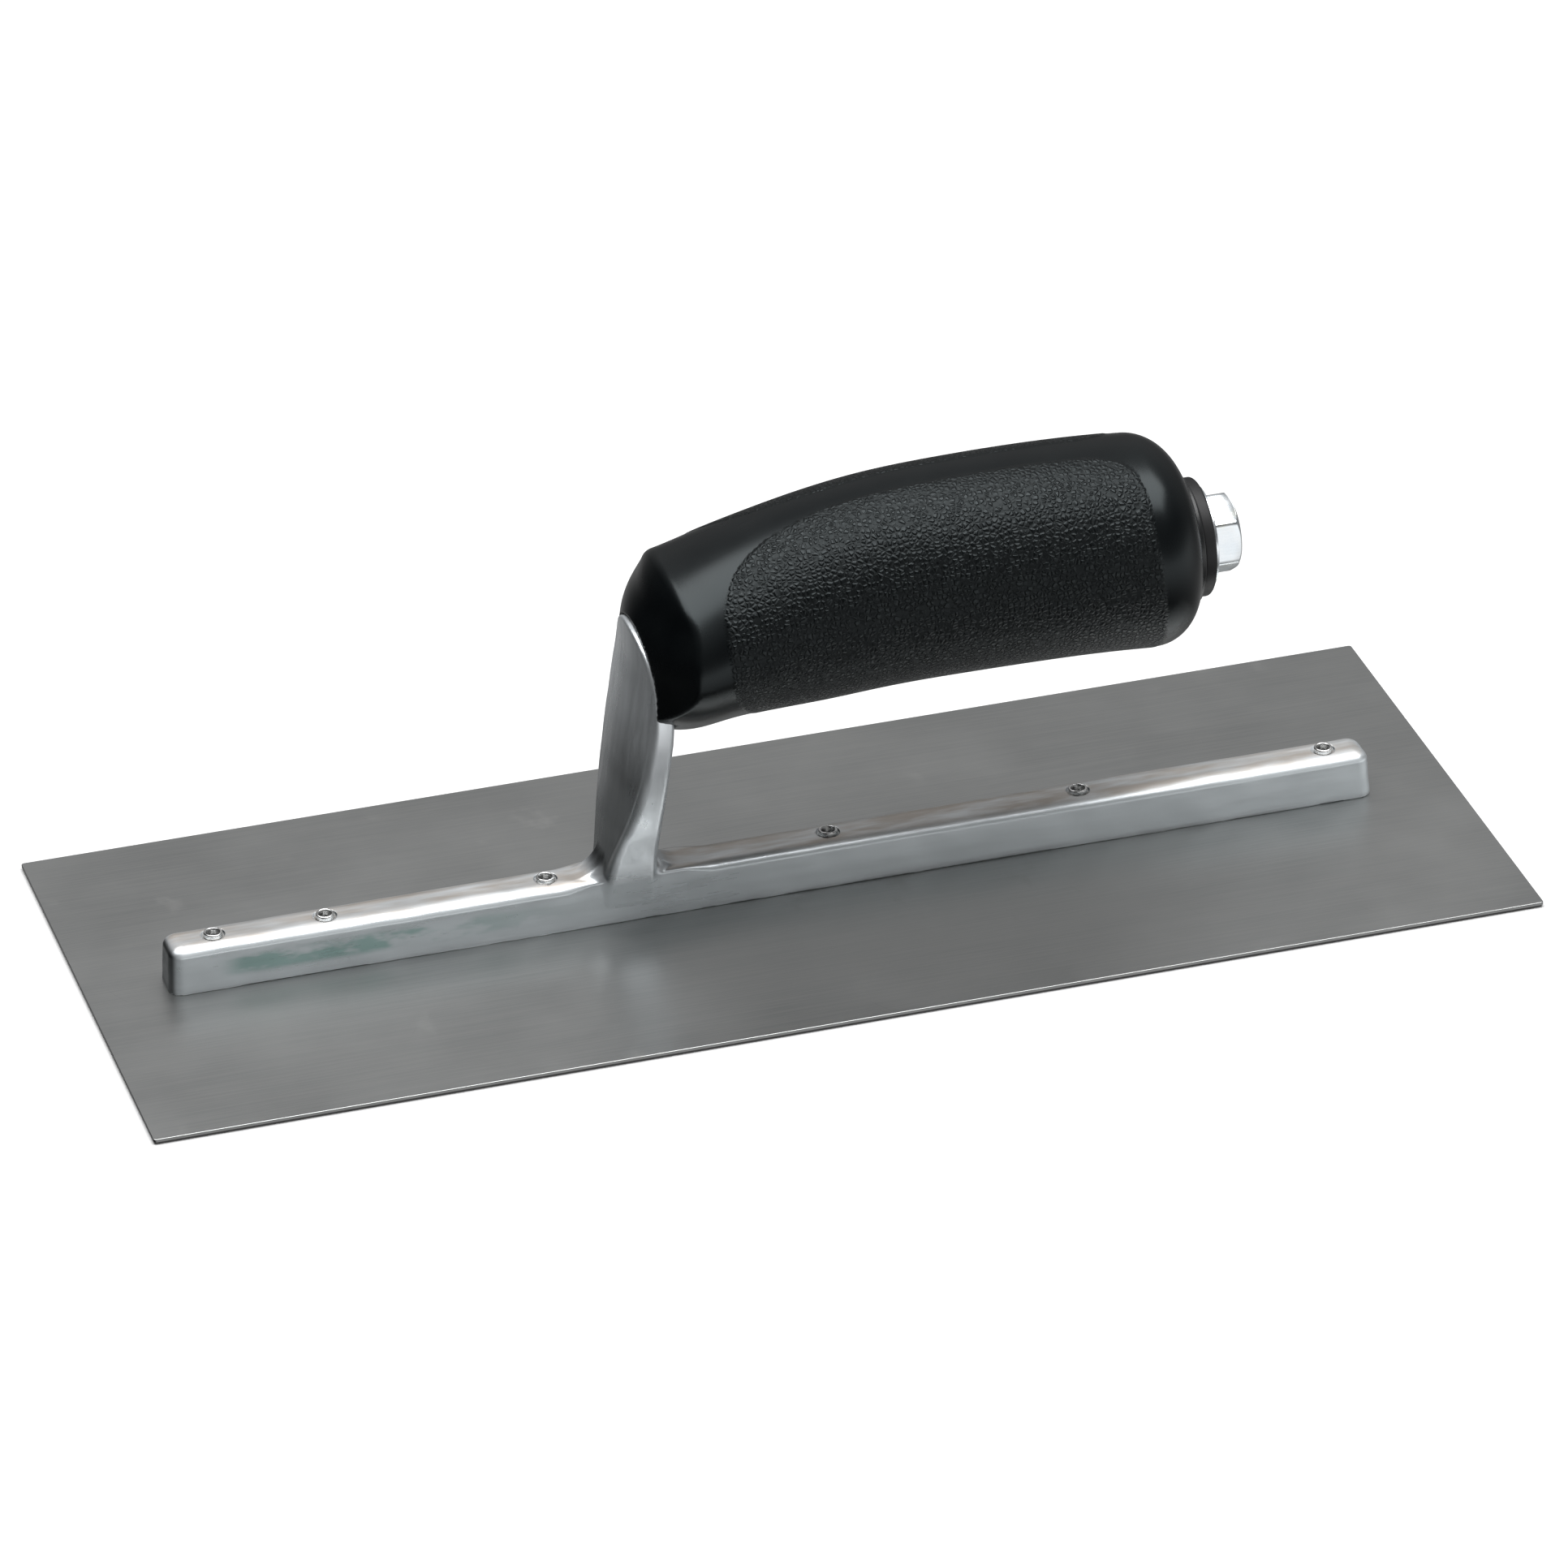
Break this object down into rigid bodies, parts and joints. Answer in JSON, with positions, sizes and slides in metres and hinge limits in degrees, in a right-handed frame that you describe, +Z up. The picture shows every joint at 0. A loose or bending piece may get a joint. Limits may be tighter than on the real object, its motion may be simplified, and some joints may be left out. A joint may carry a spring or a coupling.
{
  "type": "finishing trowel",
  "caption": "Flat rectangular steel finishing trowel: thin blade riveted to a long cast bar, flared upright post and a curved black soft-grip handle held on by an end bolt.",
  "frame": {"origin": "centre of the blade's underside (the working face)", "axes": "+X along the blade from toe to heel (bolt end), +Z up through the handle, XZ is the plane of symmetry"},
  "size_m": [0.2794, 0.1142, 0.0861],
  "materials": {
    "blade_steel": "satin, fine grinding lines along the blade",
    "cast_alloy": "tumbled casting, softly polished edges",
    "rivet_steel": "bright, rolled rims",
    "soft_grip": "smooth semi-gloss ends, pebbled grain on the sides",
    "rigid_core": "moulded, semi-gloss",
    "black_pad": "moulded, matte",
    "zinc_plate": "bright zinc plating"
  },
  "bodies": {
    "tool": {"blade": "blade_steel", "mounting": "cast_alloy", "rivets": "rivet_steel", "grip": "soft_grip", "handle_core": "rigid_core"},
    "end_washers": {"end_pad": "black_pad", "steel_washer": "zinc_plate"},
    "bolt": {"hex_bolt": "zinc_plate"}
  },
  "joints": [
    {"name": "bolt_travel", "type": "slide", "parent": "tool", "child": "end_washers", "axis": [1, 0, 0], "range_m": [0, 0.02223]},
    {"name": "bolt_turn", "type": "hinge", "parent": "end_washers", "child": "bolt", "pos_m": [0.09, 0, 0.0623], "axis": [1, 0, 0], "range_deg": [0, 5045]}
  ],
  "couplings": [
    {"joint": "bolt_turn", "follows": "bolt_travel", "rad_per_m": 3957.9}
  ]
}
